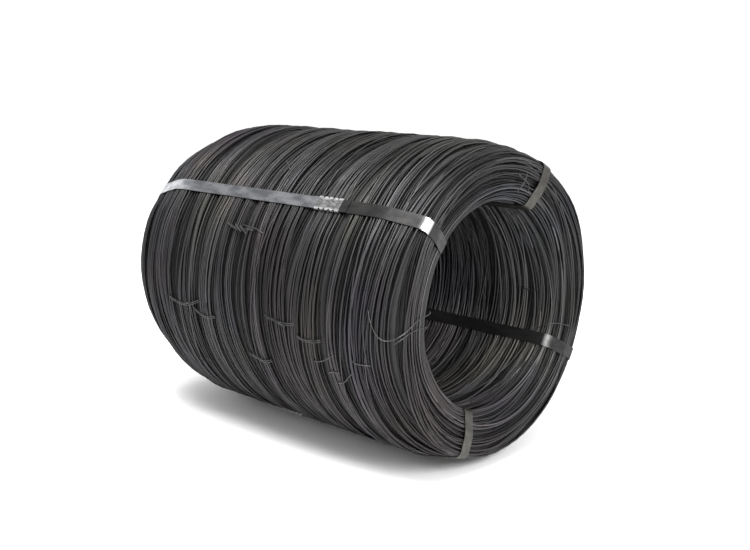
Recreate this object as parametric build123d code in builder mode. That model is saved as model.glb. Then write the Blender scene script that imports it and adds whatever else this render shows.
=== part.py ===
from build123d import *
from math import atan2, cos, tan
import os

# Coil of carbon steel wire, lying on its side. Lengths are in millimetres, angles in degrees.
# +X runs along the coil's axis to its near end and +Z is up. The origin lies on the floor,
# under the coil's middle. An angle round the coil is 0 at the top and grows towards -Y.

# The wall of wound wire
coil_length = 650.0
outer_radius = 237.5
bore_radius = 150.0

# The near end's rounding, from the crown over the end face into the bore. A share is of the wall's
# thickness, so that the end keeps its shape round a thicker or thinner wall. The lip is where the
# end turns into the bore, and its radius fits in the lead-in.
near_rounding_length = 95.0
near_shoulder_length = 70.0
near_shoulder_radius = 100.0
near_shoulder_drop_share = 0.17
near_corner_radius_share = 0.15
near_mouth_depth = 13.0
near_mouth_height_share = 0.43
near_mouth_radius_share = 0.57
near_lip_radius = 12.25

# The far end's rounding: it slopes in twice, so that its edge lies close to the bore
far_rounding_length = 185.0
far_shoulder_length = 135.0
far_shoulder_radius = 120.0
far_slope_length = 55.0
far_slope_drop_share = 0.34
far_slope_radius = 90.0
far_edge_drop_share = 0.79
far_edge_radius_share = 0.16
far_mouth_depth = 13.0
far_lip_radius = 7.875

# The hanks side by side, each a ridge between two seams, with widths along the wall. On the crown
# a hank has a flat top between two crests, and on the shoulders a single crest in its middle.
hank_widths_on_crown = (57, 43, 54, 62, 57, 57, 40)
hank_widths_on_near_shoulder = (50,)
hank_widths_on_far_shoulder = (52, 52)
crown_crests = (0.25, 0.75)
single_crest = (0.5,)
hank_seam_depth = 5.0

# The turns that show as ridges on the ends, down to where the bore's even wall starts
turns_on_near_end = 3
turns_on_far_end = 2
turn_groove_depth = 3.0
bore_lead_in = 12.0

# Steel straps, each a closed band round the wall, pulled a little way into the wire
strap_width = 19.0
strap_thickness = 0.8
strap_sink = 1.8
strap_angles = (50.0, -28.0, -120.0, 158.0)
strap_side_clearance = 0.3
strap_bed_clearance = 0.1
bed_reach_above_wire = 4.0

# Notched seals, each crimped over the two lapped ends of its strap
seal_length = 47.0
seal_wall = 0.9
seal_clearance = 0.1
seal_positions = (156.0, -60.0, 40.0, -20.0)
strap_tail_length = 14.0
notch_count = 4
notch_pitch = 9.5
notch_width = 5.0
notch_depth = 3.2

# Tie wires: each holds one hank of the crown, and is given by its hank and its angle
tie_wire_diameter = 1.6
tie_seat_clearance = 0.3
tie_end_clearance = 2.0
tie_sites = (
    (0, 95.0),
    (1, 99.0),
    (2, 64.0),
    (3, 111.0),
    (4, 93.5),
    (5, 98.0),
    (1, -93.5),
    (3, -111.0),
    (5, -97.0),
)

wall_thickness = outer_radius - bore_radius
near_end = coil_length / 2
far_end = -coil_length / 2
near_crown = near_end - near_rounding_length
far_crown = far_end + far_rounding_length
near_bore = near_end - near_mouth_depth - bore_lead_in
far_bore = far_end + far_mouth_depth + bore_lead_in
crown_scale = (near_crown - far_crown) / sum(hank_widths_on_crown)
coil_axis = Axis((0, 0, outer_radius), (1, 0, 0))

os.makedirs("parts", exist_ok=True)


def radial_plane(angle):
    """Plane through the coil's axis: x runs along the axis and y straight out at this angle."""
    return Plane(origin=(0, 0, outer_radius), x_dir=(1, 0, 0), z_dir=(0, -1, 0)).rotated((angle, 0, 0))


def tangent_plane(angle, radius):
    """Plane square to the radius at this angle: x runs along the axis and z straight out."""
    return radial_plane(angle - 90).offset(radius)


# The wall's smooth outline, which the crests touch and the straps follow
with BuildLine() as crown_line:
    Line((far_crown, outer_radius), (near_crown, outer_radius))

with BuildLine() as near_end_line:
    FilletPolyline(
        (near_crown, outer_radius),
        (near_end - near_shoulder_length, outer_radius),
        (near_end, outer_radius - near_shoulder_drop_share * wall_thickness),
        (near_end, bore_radius + near_mouth_height_share * wall_thickness),
        (near_end - near_mouth_depth, bore_radius),
        (near_bore, bore_radius),
        radius=(
            near_shoulder_radius,
            near_corner_radius_share * wall_thickness,
            near_mouth_radius_share * wall_thickness,
            near_lip_radius,
        ),
    )

with BuildLine() as far_end_line:
    FilletPolyline(
        (far_bore, bore_radius),
        (far_end + far_mouth_depth, bore_radius),
        (far_end, outer_radius - far_edge_drop_share * wall_thickness),
        (far_end + far_slope_length, outer_radius - far_slope_drop_share * wall_thickness),
        (far_end + far_shoulder_length, outer_radius),
        (far_crown, outer_radius),
        radius=(
            far_lip_radius,
            far_edge_radius_share * wall_thickness,
            far_slope_radius,
            far_shoulder_radius,
        ),
    )

with BuildSketch() as wall_outline:
    with BuildLine():
        add(crown_line.line)
        add(near_end_line.line)
        Line((near_bore, bore_radius), (far_bore, bore_radius))
        add(far_end_line.line)
    make_face()


def ridge_points(outline, ridges):
    """Corners of the ridges along a stretch of the outline. A ridge is its width, the places of its
    crests in that width, which lie on the outline, and the depth of the seam that it starts in.
    """
    total = sum(width for width, crests, depth in ridges)
    points = []
    travelled = 0.0
    for width, crests, depth in ridges:
        inward = (outline % (travelled / total)).rotate(Axis.Z, -90)
        corners = [outline @ (travelled / total) + inward * depth]
        corners += [outline @ ((travelled + crest * width) / total) for crest in crests]
        points += [(corner.X, corner.Y) for corner in corners]
        travelled += width
    return points


def end_turns(outline, hank_widths, count):
    """Even turns that fill what the hanks leave of an end's outline."""
    width = (outline.length - sum(hank_widths)) / count
    return [(width, single_crest, turn_groove_depth)] * count


crown_hanks = [(width, crown_crests, hank_seam_depth) for width in hank_widths_on_crown]
near_hanks = [(width, single_crest, hank_seam_depth) for width in hank_widths_on_near_shoulder]
far_hanks = [(width, single_crest, hank_seam_depth) for width in hank_widths_on_far_shoulder]
near_turns = end_turns(near_end_line.wire(), hank_widths_on_near_shoulder, turns_on_near_end)
far_turns = end_turns(far_end_line.wire(), hank_widths_on_far_shoulder, turns_on_far_end)
profile_points = (
    ridge_points(crown_line.wire(), crown_hanks)
    + ridge_points(near_end_line.wire(), near_hanks + near_turns)
    + [(near_bore, bore_radius), (far_bore, bore_radius)]
    + ridge_points(far_end_line.wire(), far_turns + far_hanks)[1:]
)

# A strap follows the outline at the depth that it sinks to, and its bed is a trench in the wire
with BuildSketch() as strap_outline:
    offset(wall_outline.sketch, amount=-strap_sink)

with BuildSketch() as strap_section:
    add(strap_outline.sketch)
    offset(strap_outline.sketch, amount=-strap_thickness, mode=Mode.SUBTRACT)

with BuildSketch() as bed_section:
    offset(wall_outline.sketch, amount=bed_reach_above_wire)
    offset(strap_outline.sketch, amount=-(strap_thickness + strap_bed_clearance), mode=Mode.SUBTRACT)

# The seal's sleeve, from its floor under the lower strap end to its top over the lapped one
strap_top = outer_radius - strap_sink
lap_bottom = strap_top - strap_thickness
lap_top = strap_top + strap_thickness
seal_bottom = lap_bottom - seal_clearance - seal_wall
seal_top = lap_top + seal_clearance + seal_wall
seal_opening_width = strap_width + 2 * seal_clearance
seal_width = seal_opening_width + 2 * seal_wall


def seal_pocket(seal_position):
    """Section of the pocket that the wire leaves for a seal."""
    with BuildSketch() as pocket:
        with Locations((seal_position, seal_bottom - strap_bed_clearance)):
            Rectangle(
                seal_length + 2 * strap_side_clearance,
                outer_radius - seal_bottom + bed_reach_above_wire,
                align=(Align.CENTER, Align.MIN),
            )
    return pocket.sketch


def seal_notches(angle, seal_position):
    """Diamonds on both edges of a seal, whose inner halves are its notches."""
    with BuildSketch(tangent_plane(angle, seal_bottom)) as notches:
        with Locations((seal_position, 0)):
            with GridLocations(notch_pitch, seal_width, notch_count, 2):
                Polygon(
                    (-notch_width / 2, 0),
                    (0, -notch_depth),
                    (notch_width / 2, 0),
                    (0, notch_depth),
                )
    return notches.sketch


# The coil itself: one turned solid with its bore, its beds for the straps and their seals
with BuildPart() as wire_coil:
    with BuildSketch(radial_plane(0)):
        with BuildLine():
            Polyline(*profile_points, close=True)
        make_face()
    revolve(axis=coil_axis)
    for angle, seal_position in zip(strap_angles, seal_positions):
        extrude(
            radial_plane(angle) * bed_section.sketch,
            amount=strap_width / 2 + strap_side_clearance,
            both=True,
            mode=Mode.SUBTRACT,
        )
        extrude(
            radial_plane(angle) * seal_pocket(seal_position),
            amount=seal_width / 2 + strap_side_clearance,
            both=True,
            mode=Mode.SUBTRACT,
        )
wire_coil.part.label = "wire_coil"
export_step(wire_coil.part, "parts/wire_coil.step")

# Straps and seals
for number, (angle, seal_position) in enumerate(zip(strap_angles, seal_positions), start=1):
    with BuildPart() as strap:
        with BuildSketch(radial_plane(angle)):
            add(strap_section.sketch)
            with Locations((seal_position - seal_length / 2 - strap_tail_length, strap_top)):
                Rectangle(
                    seal_length + 2 * strap_tail_length,
                    strap_thickness,
                    align=(Align.MIN, Align.MIN),
                )
        extrude(amount=strap_width / 2, both=True)
        extrude(seal_notches(angle, seal_position), amount=seal_top - seal_bottom, mode=Mode.SUBTRACT)
    strap.part.label = f"strap_{number}"
    export_step(strap.part, f"parts/strap_{number}.step")

    with BuildPart() as seal:
        with BuildSketch(tangent_plane(angle, seal_bottom)):
            with Locations((seal_position, 0)):
                Rectangle(seal_length, seal_width)
        extrude(amount=seal_top - seal_bottom)
        with BuildSketch(tangent_plane(angle, seal_bottom + seal_wall)):
            with Locations((seal_position, 0)):
                Rectangle(seal_length, seal_opening_width)
        extrude(amount=lap_top - lap_bottom + 2 * seal_clearance, mode=Mode.SUBTRACT)
        extrude(seal_notches(angle, seal_position), amount=seal_top - seal_bottom, mode=Mode.SUBTRACT)
    seal.part.label = f"seal_{number}"
    export_step(seal.part, f"parts/seal_{number}.step")


def tie_path(hank):
    """Corners of a tie wire's centre line over a hank of the crown, from seam to seam."""
    start = far_crown + crown_scale * sum(hank_widths_on_crown[:hank])
    width = crown_scale * hank_widths_on_crown[hank]
    flank_angle = atan2(hank_seam_depth, crown_crests[0] * width)
    lift = (tie_seat_clearance + tie_wire_diameter / 2) / cos(flank_angle)
    end_height = outer_radius + lift - (crown_crests[0] * width - tie_end_clearance) * tan(flank_angle)
    return [
        (start + tie_end_clearance, end_height),
        (start + crown_crests[0] * width, outer_radius + lift),
        (start + crown_crests[1] * width, outer_radius + lift),
        (start + width - tie_end_clearance, end_height),
    ]


for number, (hank, angle) in enumerate(tie_sites, start=1):
    with BuildPart() as tie_wire:
        with BuildLine(radial_plane(angle)) as path:
            Polyline(*tie_path(hank))
        with BuildSketch(Plane(origin=path.wire() @ 0, z_dir=path.wire() % 0)):
            RegularPolygon(radius=tie_wire_diameter / 2, side_count=6)
        sweep(path=path.wire(), transition=Transition.RIGHT)
    tie_wire.part.label = f"tie_wire_{number}"
    export_step(tie_wire.part, f"parts/tie_wire_{number}.step")
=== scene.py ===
# %% [markdown]
# # A coil of carbon steel wire
# About eleven hanks of dark annealed wire are wound side by side round an open bore. Four flat
# steel straps run through the bore and hold them, and thin tie wires hold the single hanks.
# The solid model gives the frame: the coil's axis runs along X, 0.2375 m over the floor. This
# script dresses that frame in single wires, ties, finishes and a plain studio. It works in
# metres, and a size that is given in millimetres is multiplied by MM.

# %% Load the frame
import math
import bmesh
import bpy
import numpy as np
from mathutils import Matrix, Vector


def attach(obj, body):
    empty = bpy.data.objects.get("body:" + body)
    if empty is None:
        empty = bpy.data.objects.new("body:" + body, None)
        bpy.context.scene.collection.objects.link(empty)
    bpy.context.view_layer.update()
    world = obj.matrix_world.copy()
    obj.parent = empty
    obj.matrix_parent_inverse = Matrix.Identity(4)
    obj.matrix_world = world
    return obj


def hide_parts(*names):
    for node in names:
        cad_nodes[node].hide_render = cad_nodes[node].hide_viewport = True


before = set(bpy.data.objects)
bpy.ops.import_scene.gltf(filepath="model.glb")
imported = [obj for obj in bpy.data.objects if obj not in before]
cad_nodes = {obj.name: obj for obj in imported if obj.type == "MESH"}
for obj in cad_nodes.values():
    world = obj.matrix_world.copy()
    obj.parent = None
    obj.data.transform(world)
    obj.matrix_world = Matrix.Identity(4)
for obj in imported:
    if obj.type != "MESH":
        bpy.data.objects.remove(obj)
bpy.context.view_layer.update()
MM = 0.001
AXIS_HEIGHT = 237.5 * MM

# %% [markdown]
# ## The camera
# The picture is taken from low down, off the coil's near end and about 1.7 m from its middle.
# Where the camera stood can be found by matching the outline and the bore's rim of a simple tube
# to the picture. The lens is close to a normal 50 mm one, and the small shift is there because
# the picture is cropped unevenly.

# %% The camera
CAMERA_PLACE = (1.1859, -1.1791, 0.5941)
CAMERA_HEADING = math.radians(43.66)
CAMERA_DOWN = math.radians(12.8)
LENS, SENSOR_WIDTH = 50.13, 36.0
SHIFT_RIGHT, SHIFT_UP = 0.0071, 0.0190

camera_data = bpy.data.cameras.new("camera")
camera_data.lens = LENS
camera_data.sensor_width = SENSOR_WIDTH
camera_data.shift_x = SHIFT_RIGHT
camera_data.shift_y = SHIFT_UP
camera = bpy.data.objects.new("camera", camera_data)
camera.location = CAMERA_PLACE
camera.rotation_euler = (math.pi / 2 - CAMERA_DOWN, 0, CAMERA_HEADING)
bpy.context.scene.collection.objects.link(camera)
bpy.context.scene.camera = camera
print("camera:", round(math.dist(CAMERA_PLACE, (0, 0, AXIS_HEIGHT)), 2), "m from the coil's middle")

# %% [markdown]
# ## The wall of wire, seen in section
# Cut the coil through its axis, and the wall shows as a long rounded rectangle. Every wire goes
# round the axis and meets that section in one dot. So a wire's place is two numbers: how far
# round the section's outline it lies, and how deep under the outline. That is easier to design
# with than x, y and z, because neighbours in the coil are neighbours along the outline, also
# where it turns over the nose and back through the bore. The outline is written as a few corners.
# Each has its place, as x and the distance from the axis, and the radius that rounds it.

# %% The corners of the section
OUTER = 237.5 * MM
BORE = 150.0 * MM
WALL = OUTER - BORE
BORE_END, LIP_END = 300.0 * MM, 312.0 * MM
NEAR_END, FAR_EDGE = 325.0 * MM, -324.5 * MM
NEAR_SHOULDER, FAR_SHOULDER, FAR_SLOPE = 255.0 * MM, -190.0 * MM, -270.0 * MM
SECTION_CORNERS = (
    ((-BORE_END, BORE), 0),
    ((-LIP_END, BORE), 0.09 * WALL),
    ((FAR_EDGE, OUTER - 0.79 * WALL), 0.16 * WALL),
    ((FAR_SLOPE, OUTER - 0.34 * WALL), 90.0 * MM),
    ((FAR_SHOULDER, OUTER), 120.0 * MM),
    ((NEAR_SHOULDER, OUTER), 100.0 * MM),
    ((NEAR_END, OUTER - 0.17 * WALL), 0.15 * WALL),
    ((NEAR_END, BORE + 0.43 * WALL), 0.57 * WALL),
    ((LIP_END, BORE), 0.14 * WALL),
    ((BORE_END, BORE), 0),
)
print("section:", len(SECTION_CORNERS), "corners, wall", round(WALL / MM, 1), "mm thick")

# %% [markdown]
# ## The rounded outline
# An arc touches both sides of its corner. So its centre lies on the line that halves the corner,
# and a few steps from one touching point to the other draw it. Along the finished outline three
# things are kept: the place, the length run so far and the direction. A wire's place and depth
# can then be read from them anywhere.

# %% Round the corners
ARC_STEPS = 10


def shortest_turn(angle):
    """The same turn, between half a turn back and half a turn on."""
    return (angle + math.pi) % (2 * math.pi) - math.pi


def rounded_outline(corners):
    """Points of a closed outline as (x, distance from the axis), with an arc at each corner."""
    points = []
    for index, (corner, radius) in enumerate(corners):
        here = Vector(corner)
        if not radius:
            points.append(here)
            continue
        back = (Vector(corners[index - 1][0]) - here).normalized()
        on = (Vector(corners[(index + 1) % len(corners)][0]) - here).normalized()
        half = back.angle(on) / 2
        reach = radius / math.tan(half)
        centre = here + (back + on).normalized() * radius / math.sin(half)
        first, last = here + back * reach - centre, here + on * reach - centre
        start = math.atan2(first.y, first.x)
        sweep = shortest_turn(math.atan2(last.y, last.x) - start)
        for step in range(ARC_STEPS + 1):
            angle = start + sweep * step / ARC_STEPS
            points.append(centre + radius * Vector((math.cos(angle), math.sin(angle))))
    return np.array(points)


outline = rounded_outline(SECTION_CORNERS)
outline = np.vstack([outline, outline[:1]])
print("outline:", len(outline), "points, from x", outline[:, 0].min().round(4), "m")

# %% Places along the outline
edge = np.diff(outline, axis=0)
edge_length = np.hypot(edge[:, 0], edge[:, 1])
outline_at = np.concatenate([[0], np.cumsum(edge_length)])
OUTLINE_LENGTH = outline_at[-1]
edge_middle = (outline_at[1:] + outline_at[:-1]) / 2
edge_turn = np.unwrap(np.arctan2(edge[:, 1], edge[:, 0]))


def on_wall(along, depth):
    """Where a wire runs: x, distance from the axis, and the outline's direction there."""
    along = along % OUTLINE_LENGTH
    turn = np.interp(along, edge_middle, edge_turn)
    x = np.interp(along, outline_at, outline[:, 0]) + np.sin(turn) * depth
    radius = np.interp(along, outline_at, outline[:, 1]) - np.cos(turn) * depth
    return x, radius, turn


print("outline:", round(OUTLINE_LENGTH, 3), "m round the section")

# %% [markdown]
# ## Where the straps and seals pull the wire in
# A strap is tensioned until it bites into the coil. The wires under it dip, and the dip fades
# out over four centimetres to each side. The same straps are in the frame as thin bands, so
# their angles and depth are taken from there, and the wires stay just under them. A seal is
# thicker than its strap, so the dip is a little deeper there.

# %% The straps' dips
WIRE = 2.8 * MM
STRAP_ANGLES = tuple(math.radians(angle) for angle in (50, -28, -120, 158))
SEAL_PLACES = tuple(x * MM for x in (156, -60, 40, -20))
UNDER_STRAP = 2.75 * MM + WIRE / 2
UNDER_SEAL = 3.9 * MM + WIRE / 2
DIP_FLAT, DIP_FADE = 13 * MM, 40 * MM
SEAL_REACH, SEAL_FADE = 26 * MM, 13 * MM


def smooth(value):
    """A soft step from 0 to 1."""
    value = np.clip(value, 0, 1)
    return value * value * (3 - 2 * value)


def strap_dips(x, radius, angle, depth):
    """Depth of wires after the straps and seals have pulled them in."""
    for strap_angle, seal_place in zip(STRAP_ANGLES, SEAL_PLACES):
        apart = np.abs(shortest_turn(angle - strap_angle)) * radius
        under = smooth(1 - (apart - DIP_FLAT) / DIP_FADE)
        by_seal = smooth(1 - (np.abs(x - seal_place) - SEAL_REACH) / SEAL_FADE)
        by_seal = by_seal * (radius > BORE + WALL / 2)
        deepest = UNDER_STRAP + (UNDER_SEAL - UNDER_STRAP) * by_seal
        depth = depth + np.maximum(deepest - depth, 0) * under
    return depth


print("straps at", [round(math.degrees(angle)) for angle in STRAP_ANGLES], "degrees")

# %% [markdown]
# ## A rack of plain rings
# Each wire starts as a plain ring. A four-sided outline is spun round the axis once, which closes
# into a thin ring, and that ring is copied side by side into a rack. Four sides are enough for a
# wire that is two pixels thick in the picture: smooth shading rounds them, and a few hundred
# rings stay light. The rack is bent into shape in the next steps.

# %% A rack of rings
SIDES = 4
SECTIONS = 88
RACK_GAP = 10 * MM
RACK_RADIUS = 200 * MM


def ring_rack(count):
    """Mesh of equal rings round the x axis, one for every step of the rack."""
    rack = bmesh.new()
    turned = Matrix.Translation((0, 0, RACK_RADIUS)) @ Matrix.Rotation(math.pi / 2, 4, "X")
    bmesh.ops.create_circle(rack, segments=SIDES, radius=WIRE / 2, matrix=turned)
    bmesh.ops.spin(
        rack,
        geom=rack.edges[:],
        axis=(1, 0, 0),
        cent=(0, 0, 0),
        angle=2 * math.pi,
        steps=SECTIONS,
        use_merge=True,
    )
    bmesh.ops.recalc_face_normals(rack, faces=rack.faces[:])
    ring = rack.verts[:] + rack.edges[:] + rack.faces[:]
    for number in range(1, count):
        copy = bmesh.ops.duplicate(rack, geom=ring)["geom"]
        corners = [part for part in copy if isinstance(part, bmesh.types.BMVert)]
        bmesh.ops.translate(rack, verts=corners, vec=(number * RACK_GAP, 0, 0))
    mesh = bpy.data.meshes.new("rings")
    rack.to_mesh(mesh)
    rack.free()
    return mesh


print("one ring:", SIDES * SECTIONS * 2, "triangles")

# %% [markdown]
# ## Closer sections at the straps
# A ring has a fixed number of sections, and a wire bends most where a strap crosses it. So the
# sections crowd there and are wider apart elsewhere. How dense they are is a level of one with a
# bump at each strap. Added up round the coil, that gives the angle of every section.

# %% Angles of the sections
ANGLE_STEPS = 2881
CROWD_AT_STRAP = 2.6
CROWD_REACH = math.radians(9)

angle_grid = np.linspace(0, 2 * math.pi, ANGLE_STEPS)
crowding = np.ones_like(angle_grid)
for strap_angle in STRAP_ANGLES:
    crowding += CROWD_AT_STRAP * np.exp(-((shortest_turn(angle_grid - strap_angle) / CROWD_REACH) ** 2))
crowded = np.concatenate([[0], np.cumsum((crowding[1:] + crowding[:-1]) / 2)])
crowded /= crowded[-1]
section_angles = np.interp(np.arange(SECTIONS) / SECTIONS, crowded, angle_grid)
section_steps = np.degrees(np.diff(section_angles))
print("sections:", section_steps.min().round(1), "to", section_steps.max().round(1), "degrees apart")

# %% [markdown]
# ## The hanks
# The coil is wound as hanks side by side, and the picture shows each as a low bulge between two
# dark seams. Rounds of turns close both ends. Their widths, in millimetres, follow each other
# along the outline, from the far end over the crown and the nose into the bore. They are scaled
# a little, so that they fill the outline exactly.

# %% The hanks along the outline
FAR_TURNS = (60, 60, 52, 52)
CROWN_HANKS = (57, 43, 54, 62, 57, 57, 40)
NEAR_TURNS = (50, 40.7, 40.7, 40.7)
BORE_HANKS = (52, 47, 58, 61, 45, 55, 50, 62, 57, 54, 59)
HANK_WIDTHS = FAR_TURNS + CROWN_HANKS + NEAR_TURNS + BORE_HANKS
FIRST_CROWN_HANK = len(FAR_TURNS)
FIRST_NEAR_TURN = FIRST_CROWN_HANK + len(CROWN_HANKS)
FIRST_BORE_HANK = FIRST_NEAR_TURN + len(NEAR_TURNS)

hank_edges = np.concatenate([[0], np.cumsum(HANK_WIDTHS)])
print("hanks and turns:", len(HANK_WIDTHS), "scaled by", round(OUTLINE_LENGTH / hank_edges[-1] / MM, 4))
hank_edges *= OUTLINE_LENGTH / hank_edges[-1]

# %% [markdown]
# ## How hanks wander
# A whole hank wanders along the axis by some millimetres and lies a little higher or lower than
# its neighbours. The seams aren't even either: they gape in some places, like a long thin lens,
# and close in others. Slow random waves give all three. Only whole numbers of waves fit round
# the coil, so every wire closes on itself, and the quicker waves are the weaker ones.

# %% Slow waves and seams
SEAM_DEPTH = 5.0 * MM
BORE_SEAM_DEPTH = 2.2 * MM
SEAM_GAP = 2.4 * MM
WIDEST_GAP = 6.0 * MM
HANK_WANDER = 5.0 * MM
HANK_LIFT = 0.7 * MM
WAVE_FADE = 0.6
HANK_SEED = 11


def waves(chance, strength, most):
    """A slow random wave round the coil that closes on itself, at each of a ring's sections."""
    total = np.zeros_like(section_angles)
    for count in range(1, most + 1):
        phase = chance.uniform(0, 2 * math.pi)
        total += chance.normal() * np.sin(count * section_angles + phase) / count**WAVE_FADE
    return strength * total


hank_chance = np.random.default_rng(HANK_SEED)
hank_sways = [waves(hank_chance, HANK_WANDER, most=3) for _ in HANK_WIDTHS]
hank_lifts = [np.abs(waves(hank_chance, HANK_LIFT, most=3)) for _ in HANK_WIDTHS]
seam_gaps = [np.clip(waves(hank_chance, SEAM_GAP, most=5), 0, WIDEST_GAP) for _ in hank_edges]
print("widest seam:", round(max(gap.max() for gap in seam_gaps) / MM, 1), "mm on each side")

# %% [markdown]
# ## Bundles and single wires
# Inside a hank the wires run in bundles of two to six that stay together for a long way, rise
# over their neighbours and dive under them. So a bundle shares one wander and one lift, and each
# of its wires adds only a little of its own. A wire near its hank's edge lies deeper, and keeps
# away from the seam where that gapes. In the bore the wires were pressed flat on the winding
# drum, so they lie more evenly there.

# %% Wires in bundles
SMALLEST_BUNDLE, BIGGEST_BUNDLE = 2, 6
PITCH_CHANGE = (0.88, 1.12)


def layer_places(chance, start, end, pitch):
    """Where each wire of a layer meets the outline, and which bundle it belongs to."""
    places, bundles = [], []
    place, bundle, left = start, 0, 0
    while place < end:
        if left == 0:
            bundle += 1
            left = int(chance.integers(SMALLEST_BUNDLE, BIGGEST_BUNDLE + 1))
        places.append(place)
        bundles.append(bundle)
        left -= 1
        place += pitch * chance.uniform(*PITCH_CHANGE)
    return places, bundles


print("bundles of", SMALLEST_BUNDLE, "to", BIGGEST_BUNDLE, "wires")

# %% How each wire lies
SKIN = WIRE / 2
BUNDLE_WANDER = 4.6 * MM
BUNDLE_LIFT = 0.7 * MM
WIRE_WANDER = 1.5 * MM
WIRE_LIFT = 0.9 * MM
BORE_CALM = 0.5
SEAM_SHARPNESS = 3


def lay_wires(chance, places, bundles, depth):
    """Each wire's place along the outline and its depth, section by section."""
    sways = [waves(chance, BUNDLE_WANDER, most=3) for _ in range(max(bundles) + 1)]
    lifts = [np.abs(waves(chance, BUNDLE_LIFT, most=4)) for _ in range(max(bundles) + 1)]
    along, deep = [], []
    for place, bundle in zip(places, bundles):
        hank = min(int(np.searchsorted(hank_edges, place, side="right")) - 1, len(HANK_WIDTHS) - 1)
        across = 2 * (place - hank_edges[hank]) / (hank_edges[hank + 1] - hank_edges[hank]) - 1
        in_bore = hank >= FIRST_BORE_HANK
        seam = BORE_SEAM_DEPTH if in_bore else SEAM_DEPTH
        lift = WIRE_LIFT * (BORE_CALM if in_bore else 1)
        gap = seam_gaps[hank + (across > 0)]
        own_sway = waves(chance, WIRE_WANDER, most=6)
        own_lift = np.abs(waves(chance, lift, most=6))
        along.append(place + hank_sways[hank] + sways[bundle] - across**SEAM_SHARPNESS * gap + own_sway)
        pulled = seam * abs(across) ** SEAM_SHARPNESS
        deep.append(depth + hank_lifts[hank] + pulled + lifts[bundle] + own_lift)
    return np.array(along), np.maximum(np.array(deep), SKIN)


print("seams:", round(SEAM_DEPTH / MM, 1), "mm deep, in the bore", round(BORE_SEAM_DEPTH / MM, 1), "mm")

# %% [markdown]
# ## Bending the rack
# The rack's rings are moved corner by corner: each keeps its number and its angle, and gets the
# place and depth that its wire has there. A corner's offset from the middle of its wire turns
# with the outline's direction, so that the wire keeps its thickness over the nose.

# %% Bend the rack into wires


def bend_rack(mesh, along, deep):
    """Move a rack's rings onto the wall, and keep each corner's wire number and section."""
    corners = np.zeros(len(mesh.vertices) * 3)
    mesh.vertices.foreach_get("co", corners)
    corners = corners.reshape(-1, 3)
    ring = np.rint(corners[:, 0] / RACK_GAP).astype(int)
    turned = np.arctan2(-corners[:, 1], corners[:, 2]) % (2 * math.pi)
    section = np.rint(turned / (2 * math.pi) * SECTIONS).astype(int) % SECTIONS
    sideways = corners[:, 0] - ring * RACK_GAP
    outward = np.hypot(corners[:, 1], corners[:, 2]) - RACK_RADIUS
    x, radius, _ = on_wall(along, deep)
    dipped = strap_dips(x, radius, section_angles[None, :], deep)
    x, radius, turn = (table[ring, section] for table in on_wall(along, dipped))
    x = x + sideways * np.cos(turn) - outward * np.sin(turn)
    radius = radius + sideways * np.sin(turn) + outward * np.cos(turn)
    angle = section_angles[section]
    corners = np.stack([x, -radius * np.sin(angle), AXIS_HEIGHT + radius * np.cos(angle)], axis=1)
    mesh.vertices.foreach_set("co", corners.ravel())
    return ring, section


print("a wire in the skin lies", round(float(on_wall(OUTLINE_LENGTH / 2, SKIN)[1]), 4), "m off the axis")

# %% [markdown]
# ## From wires to a piece
# All wires of a layer are one piece, which rides on the coil's only body. Two values stay with
# every corner for the finish: the wire's own tone, and how deep it lies, because the finish paints
# the hollows darker as painted shade.

# %% Make a piece
SHADE_DEPTH = 9.0 * MM


def add_piece(name, mesh):
    """Put a mesh into the scene as a piece of the coil."""
    mesh.name = name
    mesh.polygons.foreach_set("use_smooth", [True] * len(mesh.polygons))
    piece = bpy.data.objects.new(name, mesh)
    bpy.context.scene.collection.objects.link(piece)
    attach(piece, "root")
    return piece


def add_wires(name, along, deep, chance, brightest=1.0):
    """Wires from their places and depths, as one piece with a tone and a shade on each."""
    mesh = ring_rack(len(along))
    ring, section = bend_rack(mesh, along, deep)
    tone = chance.uniform(0, brightest, len(along))[ring]
    # The shade value is painted shade: the deeper a wire lies, the darker its finish.
    shade = np.clip((deep - SKIN) / SHADE_DEPTH, 0, 1)[ring, section]
    for title, values in (("tone", tone), ("shade", shade)):
        attribute = mesh.attributes.new(title, "FLOAT", "POINT")
        attribute.data.foreach_set("value", values.astype(np.float32))
    print(name + ":", len(along), "wires,", len(mesh.polygons) * 2, "triangles")
    return add_piece(name, mesh)


print("the shade runs over", round(SHADE_DEPTH / MM, 1), "mm of depth")

# %% [markdown]
# ## The layers of wire
# The top layer is what the eye sees, and a second one shows through its gaps. The coil is cut
# into lots by place, because a mesh of up to about one hundred thousand triangles is easy to
# handle, where one of a million isn't. Each lot has its own seed, so it comes out the same in
# every run, also when another lot changes.

# %% Wind the layers
PITCH = 3.2 * MM
UNDER_PITCH = 3.3 * MM
UNDER_SKIN = SKIN + 3.5 * MM
HALFWAY_HANK = FIRST_CROWN_HANK + 4


def wound_wires(name, start, end, pitch, depth, seed):
    """A layer of wires between two places on the outline."""
    chance = np.random.default_rng(seed)
    along, deep = lay_wires(chance, *layer_places(chance, start, end, pitch), depth)
    return add_wires(name, along, deep, chance)


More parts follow.
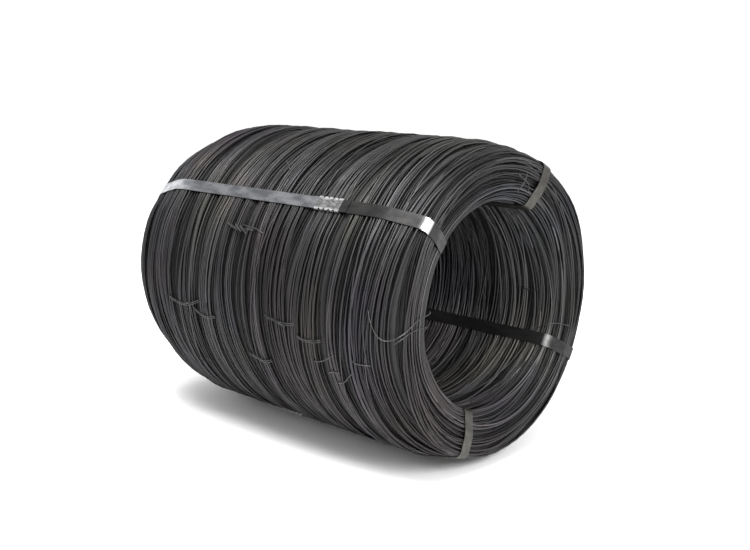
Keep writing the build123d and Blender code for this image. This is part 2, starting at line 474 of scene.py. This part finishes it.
crown_start, crown_middle = hank_edges[FIRST_CROWN_HANK], hank_edges[HALFWAY_HANK]
crown_end, bore_start = hank_edges[FIRST_NEAR_TURN], hank_edges[FIRST_BORE_HANK]
layers = [
    wound_wires("far_end_wires", 0, crown_start, PITCH, SKIN, seed=21),
    wound_wires("far_crown_wires", crown_start, crown_middle, PITCH, SKIN, seed=22),
    wound_wires("near_crown_wires", crown_middle, crown_end, PITCH, SKIN, seed=23),
    wound_wires("near_end_wires", crown_end, bore_start, PITCH, SKIN, seed=24),
    wound_wires("bore_wires", bore_start, OUTLINE_LENGTH, PITCH, SKIN, seed=25),
    wound_wires("lower_far_wires", 0, crown_middle, UNDER_PITCH, UNDER_SKIN, seed=26),
    wound_wires("lower_near_wires", crown_middle, bore_start, UNDER_PITCH, UNDER_SKIN, seed=27),
    wound_wires("lower_bore_wires", bore_start, OUTLINE_LENGTH, UNDER_PITCH, UNDER_SKIN, seed=28),
]

# %% [markdown]
# ## Stray wires
# A few wires leave their bundles and lie loosely over the others, crossing them at a slight
# angle. They are the same rings with a wider wander, and they lie at the very top, where they
# catch the most light.

# %% Stray wires
STRAY_COUNT = 50
STRAY_RANGE = (0.02, 0.98)
STRAY_WANDER = 7.0 * MM
STRAY_SEED = 31
STRAY_BRIGHTEST = 0.85

stray_chance = np.random.default_rng(STRAY_SEED)
stray_places = np.sort(stray_chance.uniform(*STRAY_RANGE, STRAY_COUNT)) * OUTLINE_LENGTH
stray_along = np.array([place + waves(stray_chance, STRAY_WANDER, most=4) for place in stray_places])
stray_deep = SKIN + np.abs([waves(stray_chance, WIRE_LIFT, most=5) for _ in stray_places])
layers.append(add_wires("stray_wires", stray_along, stray_deep, stray_chance, STRAY_BRIGHTEST))

# %% [markdown]
# ## The packed wire inside
# Behind the first two layers the coil is a solid mass of wire in deep shade. One dark turned body
# stands for it: the section's outline, pulled in a little way, is spun round the axis. It also
# stands for the plain wall of the solid model, which is hidden now that the wires are there.

# %% The packed wire inside
CORE_DEPTH = 9.0 * MM
CORE_POINTS = 140
CORE_SECTIONS = 96

core_mesh = bmesh.new()
core_along = np.linspace(0, OUTLINE_LENGTH, CORE_POINTS, endpoint=False)
core_x, core_radius, _ = on_wall(core_along, np.full_like(core_along, CORE_DEPTH))
core_corners = [core_mesh.verts.new((x, 0, radius)) for x, radius in zip(core_x, core_radius)]
for first, second in zip(core_corners, core_corners[1:] + core_corners[:1]):
    core_mesh.edges.new((first, second))
bmesh.ops.spin(
    core_mesh,
    geom=core_mesh.edges[:],
    axis=(1, 0, 0),
    cent=(0, 0, 0),
    angle=2 * math.pi,
    steps=CORE_SECTIONS,
    use_merge=True,
)
bmesh.ops.recalc_face_normals(core_mesh, faces=core_mesh.faces[:])
bmesh.ops.translate(core_mesh, verts=core_mesh.verts[:], vec=(0, 0, AXIS_HEIGHT))
core_data = bpy.data.meshes.new("packed_wire")
core_mesh.to_mesh(core_data)
core_mesh.free()
packed_wire = add_piece("packed_wire", core_data)
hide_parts("wire_coil")
print("packed_wire:", len(core_data.polygons) * 2, "triangles")

# %% [markdown]
# ## Tie wires
# Each hank was tied with a thin soft wire before the coil was strapped. What shows of a tie is a
# short line over the hank, whose ends dive into the seams, and now and then the pigtail where its
# ends were twisted together. A place on the coil is easiest to read as x in millimetres, the
# angle round the coil in degrees and the distance from the axis in millimetres.

# %% Lines of a tie
OVER = 237.7
IN_SEAM = 233.0
INTO_SEAM = 2
BESIDE_X, BESIDE_ANGLE = 1.5, 0.55


def on_coil(x, angle, out=OVER):
    """A place on the coil in space."""
    angle = math.radians(angle)
    return Vector((x * MM, -out * MM * math.sin(angle), AXIS_HEIGHT + out * MM * math.cos(angle)))


def bent(*places):
    """A wire's line through places on the coil."""
    return [on_coil(*place) for place in places]


def over_hank(*places):
    """A tie's line over a hank: it starts and ends in the seams."""
    first, last = places[0], places[-1]
    start = (first[0] - INTO_SEAM, first[1], IN_SEAM)
    end = (last[0] + INTO_SEAM, last[1], IN_SEAM)
    return bent(start, *places, end)


def doubled(*places):
    """A tie of two wires side by side over a hank."""
    beside = [(x + BESIDE_X, angle + BESIDE_ANGLE) for x, angle in places]
    return over_hank(*places), over_hank(*beside)


print("a tie passes", round(OVER - OUTER / MM, 1), "mm over the coil's outside")

# %% [markdown]
# ## Twisting and bending a tie
# A pigtail is two strands wound round each other, so each strand is a small helix round the line
# between two places. A smooth curve with a round section is the natural way to bend a wire. It is
# turned into a closed mesh at the end, because the export wants plain meshes.

# %% Twist and bend
TIE = 1.4 * MM
STEPS_A_TWIST = 6
WELD = 0.01 * MM


def twisted(first, last, turns):
    """Two strands wound round each other between two places."""
    first, last = on_coil(*first), on_coil(*last)
    side = (last - first).orthogonal().normalized()
    other = (last - first).cross(side).normalized()
    strands = ([], [])
    for step in range(turns * STEPS_A_TWIST + 1):
        turn = step / STEPS_A_TWIST * 2 * math.pi
        middle = first.lerp(last, step / (turns * STEPS_A_TWIST))
        swing = (side * math.cos(turn) + other * math.sin(turn)) * TIE / 2
        strands[0].append(middle + swing)
        strands[1].append(middle - swing)
    return strands


def tie_piece(name, *paths):
    """Wires bent along smooth lines, as one closed mesh piece."""
    data = bpy.data.curves.new(name, "CURVE")
    data.dimensions = "3D"
    data.bevel_depth = TIE / 2
    data.bevel_resolution = 1
    data.use_fill_caps = True
    data.resolution_u = 3
    for path in paths:
        spline = data.splines.new("NURBS")
        spline.points.add(len(path) - 1)
        for point, place in zip(spline.points, path):
            point.co = (*place, 1)
        spline.order_u = 3
        spline.use_endpoint_u = True
    curve = bpy.data.objects.new(name, data)
    mesh = bpy.data.meshes.new_from_object(curve)
    bpy.data.objects.remove(curve)
    bpy.data.curves.remove(data)
    shell = bmesh.new()
    shell.from_mesh(mesh)
    bmesh.ops.remove_doubles(shell, verts=shell.verts[:], dist=WELD)
    bmesh.ops.recalc_face_normals(shell, faces=shell.faces[:])
    shell.to_mesh(mesh)
    shell.free()
    return add_piece(name, mesh)


print("tie wire:", round(TIE / MM, 1), "mm thick")

# %% [markdown]
# ## The ties of the hanks
# Nine ties are in the solid model as plain bent rods, so their pieces take those nodes' places.
# The first six follow the picture. Each is a double wire, and some have a pigtail as well.
# The other three are on the side that the picture doesn't show, made like the ones that it does.

# %% Ties of the hanks
ties = {
    1: [
        *doubled((-153.5, 94.1), (-140.0, 95.3), (-120.0, 96.0), (-100.0, 95.6), (-80.6, 93.6)),
        *twisted((-112, 96.2, 237.6), (-98, 94.6, 237.8), turns=3),
    ],
    2: [*doubled((-88.0, 96.6), (-75.1, 98.4), (-60.0, 99.0), (-45, 98.3))],
    3: [
        *doubled((-34.0, 62.2), (-20.0, 63.4), (-5.0, 64.2), (12.1, 63.9), (26.0, 63.2)),
        over_hank((4.0, 62.4), (18.0, 63.0), (34.0, 62.9), (52.0, 64.4)),
        *twisted((-10, 62.8, 239), (8, 65.2, 240), turns=4),
        *twisted((2, 63.2, 239.4), (20, 65.6, 239.6), turns=4),
    ],
    4: [
        *doubled((27.0, 109.6), (41.6, 110.0), (55.0, 111.2), (70.0, 110.4)),
        *twisted((50, 111.0, 237.8), (63, 112.0, 237.6), turns=3),
    ],
    5: [
        *doubled((78.0, 92.2), (95.0, 92.8), (115.0, 93.6), (136.0, 92.9)),
        *twisted((108, 93.8, 237.4), (122, 94.6, 237.4), turns=3),
    ],
    6: [*doubled((143.0, 96.4), (155.6, 97.6), (172.0, 97.3), (187, 96.6))],
    7: [*doubled((-80, -93.1), (-66, -93.9), (-52, -93.2), (-43, -93.6))],
    8: [
        *doubled((18, -110.6), (36, -111.3), (55, -110.8), (72, -111.4)),
        *twisted((40, -111.2, 237.8), (53, -112.4, 237.6), turns=3),
    ],
    9: [*doubled((137, -96.6), (153, -97.3), (170, -96.8), (186, -97.4))],
}
tie_pieces = []
for number, paths in ties.items():
    piece = tie_piece(f"tie_{number}", *paths)
    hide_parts(f"tie_wire_{number}")
    tie_pieces.append(piece)
print("ties:", len(tie_pieces), "with", sum(len(piece.data.polygons) for piece in tie_pieces), "faces")

# %% [markdown]
# ## The ties of the nose and the bore
# These are shorter: ends that are pulled tight over the low front, loose ends that curl over the
# nose into the bore's mouth, one over the crown, and some inside the bore. A list names the
# places that each one touches on its way.

# %% Ties of the nose and the bore
low_front_ties = (
    over_hank((171.2, 104.8), (190.1, 104.1), (212.8, 100.7)),
    over_hank((194.5, 108.5), (209.0, 106.5), (217.6, 107.1)),
    over_hank((210.1, 111.1), (227.3, 110.1), (241.9, 106.1)),
    bent((243, 100.4, 231), (250, 100.9, 237.3), (263, 101.5, 236.2), (279, 101.4, 231)),
)
curled_ends = (
    bent(
        (274, 82.0, 228), (278.2, 84.0, 233.3), (292.6, 91.1, 231.3), (311.7, 91.8, 227.8),
        (324.1, 89.6, 216), (324.2, 87.4, 200), (323.6, 85.3, 188), (322.4, 84.6, 178),
        (321.8, 84.0, 171), (322.0, 83.3, 164), (322.0, 82.4, 158), (321.0, 81.8, 160),
    ),
    bent(
        (318, 92.3, 224), (324, 90.6, 211), (324.2, 89.4, 203), (324.2, 88.9, 193),
        (323.5, 88.9, 184), (321.5, 89.0, 174), (321.0, 89.2, 166), (320.5, 88.7, 160),
    ),
)
crown_tie = bent((10.6, 32.7, 236), (18, 34.4, 239), (27.2, 35.7, 239), (38, 38, 237))
mouth_ties = (
    bent((323, -8.2, 192), (324.2, -11.5, 187), (324.0, -15.5, 183), (321.5, -19.2, 179), (317, -20.5, 172)),
    bent((322, -15.4, 198), (324.2, -14.4, 190), (323.2, -13.9, 182), (319.0, -13.4, 173), (313, -13.2, 164)),
    bent((244, -91.9, 152), (253, -92.4, 149.2), (268, -92.9, 149.2), (288, -91, 152)),
    bent(
        (287, -114.6, 152), (300, -111.6, 149.4), (314, -109.2, 156), (320.6, -108.8, 172),
        (323.0, -108.8, 184),
    ),
)
short_ties = (*low_front_ties, *curled_ends, crown_tie, *mouth_ties)
for number, path in enumerate(short_ties, start=len(ties) + 1):
    tie_pieces.append(tie_piece(f"tie_{number}", path))
print("more ties:", len(short_ties))

# %% [markdown]
# ## Starting a finish
# A finish is a small net of nodes in front of one shader. Most of what varies here is a grey, so
# it is written as pairs of a place and a grey, and a colour ramp spreads them over a value.

# %% Materials and ramps


def new_material(name):
    """A material with its node tree and its shader."""
    material = bpy.data.materials.new(name)
    material.use_nodes = True
    tree = material.node_tree
    return material, tree, tree.nodes["Principled BSDF"]


def greys(stops, shade=1.0):
    """Colour stops from pairs of a place and a grey."""
    return [(place, (shade * grey,) * 3) for place, grey in stops]


def ramp(tree, value, stops):
    """A colour ramp over a value, with (place, colour) stops."""
    node = tree.nodes.new("ShaderNodeValToRGB")
    while len(node.color_ramp.elements) < len(stops):
        node.color_ramp.elements.new(0.5)
    for element, (place, colour) in zip(node.color_ramp.elements, stops):
        element.position = place
        element.color = (*colour, 1)
    tree.links.new(value, node.inputs["Fac"])
    return node.outputs["Color"]


print("half a grey of 0.2:", greys([(0.0, 0.2)], shade=0.5))

# %% [markdown]
# ## Uneven surfaces
# No steel surface is even, so every finish uses noise. It is read from the object's own
# coordinates, in metres, and so it stays on the piece when the piece is moved or exported. Mixing
# joins two colours, and a bump gives the light something small to catch on. The mix node has
# sockets for numbers and for colours, so its colour sockets are called by their numbers.

# %% Noise, mixing and bump
MIX_SHARE, MIX_FIRST, MIX_SECOND = 0, 6, 7
MIX_RESULT = 2


def noise(tree, scale, detail=3.0, stretch=(1, 1, 1)):
    """Noise on the object's own coordinates, in features per metre."""
    place = tree.nodes.new("ShaderNodeTexCoord")
    mapping = tree.nodes.new("ShaderNodeMapping")
    mapping.inputs["Scale"].default_value = stretch
    node = tree.nodes.new("ShaderNodeTexNoise")
    node.inputs["Scale"].default_value = scale
    node.inputs["Detail"].default_value = detail
    tree.links.new(place.outputs["Object"], mapping.inputs["Vector"])
    tree.links.new(mapping.outputs["Vector"], node.inputs["Vector"])
    return node.outputs["Fac"]


def mix(tree, share, first, second, how="MIX"):
    """Two colours mixed by a share, which is a number or a socket."""
    node = tree.nodes.new("ShaderNodeMix")
    node.data_type = "RGBA"
    node.blend_type = how
    for place, value in ((MIX_SHARE, share), (MIX_FIRST, first), (MIX_SECOND, second)):
        socket = node.inputs[place]
        if isinstance(value, bpy.types.NodeSocket):
            tree.links.new(value, socket)
        elif isinstance(value, tuple):
            socket.default_value = (*value, 1)
        else:
            socket.default_value = value
    return node.outputs[MIX_RESULT]


def fine_bump(tree, shader, scale, strength, distance):
    """Small unevenness of a surface, from noise."""
    bump = tree.nodes.new("ShaderNodeBump")
    bump.inputs["Strength"].default_value = strength
    bump.inputs["Distance"].default_value = distance
    tree.links.new(noise(tree, scale, detail=2), bump.inputs["Height"])
    tree.links.new(bump.outputs["Normal"], shader.inputs["Normal"])


print("materials so far:", len(bpy.data.materials))

# %% [markdown]
# ## What a wire's finish can ask
# The wire's finish needs two answers about a place: the value that was stored on the mesh, and
# how far it lies from the coil's axis. The distance is the length of the offset from the axis,
# with the part along the axis taken out.

# %% Stored values and the distance from the axis


def attribute(tree, title):
    """A value that is stored on the mesh."""
    node = tree.nodes.new("ShaderNodeAttribute")
    node.attribute_name = title
    return node.outputs["Fac"]


def from_axis(tree):
    """How far a place lies from the coil's axis, in metres."""
    place = tree.nodes.new("ShaderNodeTexCoord")
    offset = tree.nodes.new("ShaderNodeVectorMath")
    offset.operation = "SUBTRACT"
    offset.inputs[1].default_value = (0, 0, AXIS_HEIGHT)
    flat = tree.nodes.new("ShaderNodeVectorMath")
    flat.operation = "MULTIPLY"
    flat.inputs[1].default_value = (0, 1, 1)
    size = tree.nodes.new("ShaderNodeVectorMath")
    size.operation = "LENGTH"
    tree.links.new(place.outputs["Object"], offset.inputs[0])
    tree.links.new(offset.outputs["Vector"], flat.inputs[0])
    tree.links.new(flat.outputs["Vector"], size.inputs[0])
    return size.outputs["Value"]


print("stored on the wires:", [title for title in ("tone", "shade") if title in layers[0].data.attributes])

# %% [markdown]
# ## The finish of the wire
# Annealed wire is dark: a thin grey-black scale with a dull metal sheen. Seen close it is blue or
# purple in places and brown-green in others, where the scale grew thicker or thinner. Each wire
# has its own tone, the hollows are darkened with painted shade, and slow noise over the coil gives
# the tints. The turns near the axis are painted lighter and the outer ones darker: painted light in
# the bore and painted shade on the outside. The lower layer has the same finish, painted darker as
# shade, because less light reaches it.

# %% Annealed wire
WIRE_TONES = ((0.0, 0.030), (0.5, 0.060), (0.9, 0.104), (1.0, 0.15))
# Painted shade: the deeper a wire lies, the darker it is painted.
HOLLOW_SHADES = ((0.0, 1.0), (0.25, 0.78), (0.5, 0.35), (0.8, 0.1))
# Painted light and shade by distance from the axis: lighter in the bore, darker on the outside.
INNER_TO_OUTER = ((0.150, 1.0), (0.165, 0.9), (0.185, 0.64), (0.205, 0.54))
BLUE, BROWN, PURPLE = (0.93, 0.95, 1.09), (1.05, 1.02, 0.91), (1.09, 0.95, 1.01)
TINTS = ((BLUE, 7, (1, 1, 1)), (BROWN, 5, (1.7, 1, 1)), (PURPLE, 4, (1, 1.6, 1)))
TINT_PATCHES = ((0.48, 0), (0.66, 1))
WIRE_ROUGHNESS = ((0.3, 0.36), (0.7, 0.56))
WIRE_METALLIC = 0.7


def annealed_wire(name, shade):
    """Dark wire with its own tones, painted shade in the hollows, painted light by the axis and faint tints.
    """
    material, tree, shader = new_material(name)
    colour = ramp(tree, attribute(tree, "tone"), greys(WIRE_TONES, shade))
    hollow = ramp(tree, attribute(tree, "shade"), greys(HOLLOW_SHADES))
    painted_light_by_radius = ramp(tree, from_axis(tree), greys(INNER_TO_OUTER))
    for darker in (hollow, painted_light_by_radius):
        colour = mix(tree, 1.0, colour, darker, "MULTIPLY")
    for tint, scale, stretch in TINTS:
        patch = ramp(tree, noise(tree, scale, stretch=stretch), greys(TINT_PATCHES))
        colour = mix(tree, patch, colour, mix(tree, 1.0, colour, tint, "MULTIPLY"))
    tree.links.new(colour, shader.inputs["Base Color"])
    rough = ramp(tree, noise(tree, scale=60, detail=5), greys(WIRE_ROUGHNESS))
    tree.links.new(rough, shader.inputs["Roughness"])
    shader.inputs["Metallic"].default_value = WIRE_METALLIC
    fine_bump(tree, shader, scale=700, strength=0.25, distance=0.4 * MM)
    return material


wire_finish = annealed_wire("annealed_wire", shade=1.0)
# The lower layer's finish is a darker copy, as painted shade.
lower_finish = annealed_wire("annealed_wire_in_shade", shade=0.6)
for layer in layers:
    layer.data.materials.append(lower_finish if layer.name.startswith("lower") else wire_finish)
print("finishes:", wire_finish.name, lower_finish.name)

# %% [markdown]
# ## The finish of the packed wire
# Almost no light reaches the wire inside the wall, so its body is painted nearly black as shade
# and quite dull, with a little noise so that it doesn't look like a flat sheet between the wires.

# %% Packed wire
# Painted shade: the inner body is nearly black.
PACKED_GREYS = ((0.3, 0.006), (0.7, 0.014))
PACKED_ROUGHNESS = 0.8

packed_finish, packed_tree, packed_shader = new_material("packed_wire_shade")
packed_grey = ramp(packed_tree, noise(packed_tree, scale=40), greys(PACKED_GREYS))
packed_tree.links.new(packed_grey, packed_shader.inputs["Base Color"])
packed_shader.inputs["Roughness"].default_value = PACKED_ROUGHNESS
packed_wire.data.materials.append(packed_finish)
print("finish:", packed_finish.name)

# %% [markdown]
# ## The finish of the ties
# The ties are thinner and were drawn clean, so they catch the light a little more than the wire
# round them, with dull spots where the scale took.

# %% Tie finish
TIE_GREYS = ((0.35, 0.03), (0.65, 0.08))
TIE_METALLIC, TIE_ROUGHNESS = 0.8, 0.4

tie_finish, tie_tree, tie_shader = new_material("tie_wire_steel")
tie_grey = ramp(tie_tree, noise(tie_tree, scale=120, detail=4), greys(TIE_GREYS))
tie_tree.links.new(tie_grey, tie_shader.inputs["Base Color"])
tie_shader.inputs["Metallic"].default_value = TIE_METALLIC
tie_shader.inputs["Roughness"].default_value = TIE_ROUGHNESS
fine_bump(tie_tree, tie_shader, scale=900, strength=0.2, distance=0.3 * MM)
for piece in tie_pieces:
    piece.data.materials.append(tie_finish)
print("tie finish on", len(tie_pieces), "pieces")

# %% [markdown]
# ## Steel strap
# The straps and seals of the solid model have the right shape, so they stay and only get their
# finish. Strap steel is cloudy between a darker and a lighter colour, and both change along it:
# from a painted reflection to plain paint, or to a painted highlight on a bend. A strap isn't
# straight, so how far a place lies along a chosen direction stands for how far along the strap it is.

# %% Cloudy strap steel
CLOUDS = ((0.38, 0), (0.62, 1))
CLOUD_STRETCH = (1, 2.5, 2.5)
STRAP_METALLIC = 0.9


def along_direction(tree, direction, reach):
    """How far a place lies along a direction from the coil's axis: 0 and 1 stand for -/+ reach."""
    place = tree.nodes.new("ShaderNodeTexCoord")
    along = tree.nodes.new("ShaderNodeVectorMath")
    along.operation = "DOT_PRODUCT"
    along.inputs[1].default_value = direction
    tree.links.new(place.outputs["Object"], along.inputs[0])
    share = tree.nodes.new("ShaderNodeMapRange")
    at_axis = direction[2] * AXIS_HEIGHT
    share.inputs["From Min"].default_value = at_axis - reach
    share.inputs["From Max"].default_value = at_axis + reach
    tree.links.new(along.outputs["Value"], share.inputs["Value"])
    return share.outputs["Result"]


def strap_steel(name, stops, rough, direction=(1, 0, 0), reach=NEAR_END, scale=35):
    """Cloudy steel. Each stop has its place along the direction, a darker and a lighter colour."""
    material, tree, shader = new_material(name)
    share = along_direction(tree, direction, reach)
    places = [(stop[0] / reach + 1) / 2 for stop in stops]
    darker = ramp(tree, share, [(at, stop[1]) for at, stop in zip(places, stops)])
    lighter = ramp(tree, share, [(at, stop[2]) for at, stop in zip(places, stops)])
    cloud = ramp(tree, noise(tree, scale, detail=4, stretch=CLOUD_STRETCH), greys(CLOUDS))
    tree.links.new(mix(tree, cloud, darker, lighter), shader.inputs["Base Color"])
    speck = ramp(tree, noise(tree, scale=160, detail=4), greys(((0.3, rough[0]), (0.7, rough[1]))))
    tree.links.new(speck, shader.inputs["Roughness"])
    shader.inputs["Metallic"].default_value = STRAP_METALLIC
    fine_bump(tree, shader, scale=90, strength=0.15, distance=0.6 * MM)
    return material


def along_strap(number):
    """The direction that grows with x and with depth, so it follows a strap over the nose."""
    angle = STRAP_ANGLES[number - 1]
    return (1, math.sin(angle), -math.cos(angle))


print("along the first strap:", [round(part, 2) for part in along_strap(1)])

# %% [markdown]
# ## The four straps
# The first strap changes at its seal. Its far lapped end is painted lighter and cloudy as a painted
# reflection, brighter over the far shoulder; the other end shows its dark painted side, with a
# painted highlight where it bends over the nose. The second and fourth are dark with a dull olive
# cast. The third is painted, with a dull painted highlight where it turns over the bore's lip.

# %% Finish of the straps
# Painted reflection: the first strap's far half is painted lighter, brightest over the far shoulder.
REFLECTION = ((0.10, 0.105, 0.115), (0.20, 0.205, 0.215))
BRIGHT_REFLECTION = ((0.30, 0.31, 0.33), (0.62, 0.63, 0.66))
PAINTED = ((0.022, 0.022, 0.023), (0.036, 0.035, 0.034))
OLIVE = ((0.045, 0.043, 0.038), (0.070, 0.067, 0.059))
# Painted highlights on the bends of the first and third straps.
BEND_HIGHLIGHT = ((0.60, 0.60, 0.60), (0.85, 0.85, 0.84))
BEND_HIGHLIGHT_LIP = ((0.09, 0.09, 0.09), (0.17, 0.17, 0.165))

first_strap = strap_steel(
    "strap_with_painted_reflection",
    (
        # painted reflection from the far shoulder to the seal
        (-440 * MM, *BRIGHT_REFLECTION),
        (-385 * MM, *REFLECTION),
        (-103.5 * MM, *REFLECTION),
        (-102.5 * MM, *PAINTED),
        (97 * MM, *PAINTED),
        # painted highlight where the strap bends over the nose
        (100 * MM, *BEND_HIGHLIGHT),
        (112 * MM, *BEND_HIGHLIGHT),
        (116 * MM, *PAINTED),
    ),
    rough=(0.28, 0.42),
    direction=along_strap(1),
    reach=450 * MM,
)
painted_strap = strap_steel(
    "painted_strap",
    # a dull painted highlight where the strap turns over the bore's lip
    ((152 * MM, *PAINTED), (155 * MM, *BEND_HIGHLIGHT_LIP), (170 * MM, *BEND_HIGHLIGHT_LIP)),
    rough=(0.48, 0.62),
    direction=along_strap(3),
    reach=200 * MM,
)
olive_strap = strap_steel("olive_strap", ((-1 * MM, *OLIVE), (1 * MM, *OLIVE)), rough=(0.35, 0.5))
for number, finish in enumerate((first_strap, olive_strap, painted_strap, olive_strap), start=1):
    cad_nodes[f"strap_{number}"].material_slots[0].material = finish
    print(f"strap_{number}:", finish.name)

# %% [markdown]
# ## The seals
# A seal is a short sleeve of sheet that is notched to grip both ends of its strap. The first one
# shows in the picture: it is dull in its middle and bright on its sheared edges. The others are
# out of sight there, and they are made duller, to go with their dark straps. Here the colour
# changes across the strap.

# %% Finish of the seals
SEAL_EDGE = 7.0 * MM
SEAL_ROUGHNESS = (0.3, 0.5)
SEAL_MIDDLE = ((0.10, 0.10, 0.105), (0.26, 0.26, 0.26))
SHEARED = ((0.32, 0.32, 0.32), (0.55, 0.55, 0.54))
DULL_MIDDLE = ((0.07, 0.07, 0.068), (0.11, 0.11, 0.105))
DULL_EDGE = ((0.13, 0.13, 0.125), (0.20, 0.20, 0.19))

for number, strap_angle in enumerate(STRAP_ANGLES, start=1):
    across = (0, -math.cos(strap_angle), -math.sin(strap_angle))
    edge_grey, middle_grey = (SHEARED, SEAL_MIDDLE) if number == 1 else (DULL_EDGE, DULL_MIDDLE)
    seal_steel = strap_steel(
        f"seal_steel_{number}",
        (
            (-SEAL_EDGE - MM, *edge_grey),
            (-SEAL_EDGE, *middle_grey),
            (SEAL_EDGE, *middle_grey),
            (SEAL_EDGE + MM, *edge_grey),
        ),
        rough=SEAL_ROUGHNESS,
        direction=across,
        reach=20 * MM,
        scale=140,
    )
    cad_nodes[f"seal_{number}"].material_slots[0].material = seal_steel
    print(f"seal_{number}:", seal_steel.name)

# %% [markdown]
# ## The studio
# A plain pale floor and pale surroundings fill the shadows and leave the background white. The
# floor is staging and no part of the coil.

# %% The floor and the surroundings
FLOOR_REACH = 12
FLOOR_WHITE = 0.97
SURROUNDINGS = 1.06

floor_mesh = bmesh.new()
bmesh.ops.create_grid(floor_mesh, x_segments=1, y_segments=1, size=FLOOR_REACH)
floor_data = bpy.data.meshes.new("floor")
floor_mesh.to_mesh(floor_data)
floor_mesh.free()
floor = bpy.data.objects.new("floor", floor_data)
bpy.context.scene.collection.objects.link(floor)
floor_finish, _, floor_shader = new_material("floor_white")
floor_shader.inputs["Base Color"].default_value = (FLOOR_WHITE, FLOOR_WHITE, FLOOR_WHITE, 1)
floor_shader.inputs["Roughness"].default_value = 0.9
floor_shader.inputs["Specular IOR Level"].default_value = 0.1
floor_data.materials.append(floor_finish)

world = bpy.data.worlds.new("studio")
bpy.context.scene.world = world
world.use_nodes = True
background = world.node_tree.nodes["Background"]
background.inputs["Color"].default_value = (1, 1, 1, 1)
background.inputs["Strength"].default_value = SURROUNDINGS
bpy.context.scene.view_settings.view_transform = "Standard"
print("floor:", 2 * FLOOR_REACH, "m wide")

# %% [markdown]
# ## The lights
# One large soft light from above, on the camera's side, gives the long highlights on the wires. A
# weak one lights the near end, and a small one shines into the bore, which would be too dark
# otherwise. Wide lights make soft shadows.

# %% Soft lights


def soft_light(name, place, aim, size, power):
    """A square area light that looks at a point."""
    data = bpy.data.lights.new(name, "AREA")
    data.size = size
    data.energy = power
    light = bpy.data.objects.new(name, data)
    light.location = place
    light.rotation_euler = (Vector(aim) - Vector(place)).to_track_quat("-Z", "Y").to_euler()
    bpy.context.scene.collection.objects.link(light)


soft_light("key_light", place=(0.3, -0.9, 2.6), aim=(0, 0, 0.25), size=1.4, power=106)
soft_light("end_light", place=(2.4, 0.6, 1.6), aim=(0.3, 0, 0.2), size=1.2, power=10)
soft_light("bore_light", place=(1.9, -0.5, 1.2), aim=(0.1, 0.05, 0.1), size=0.7, power=34)
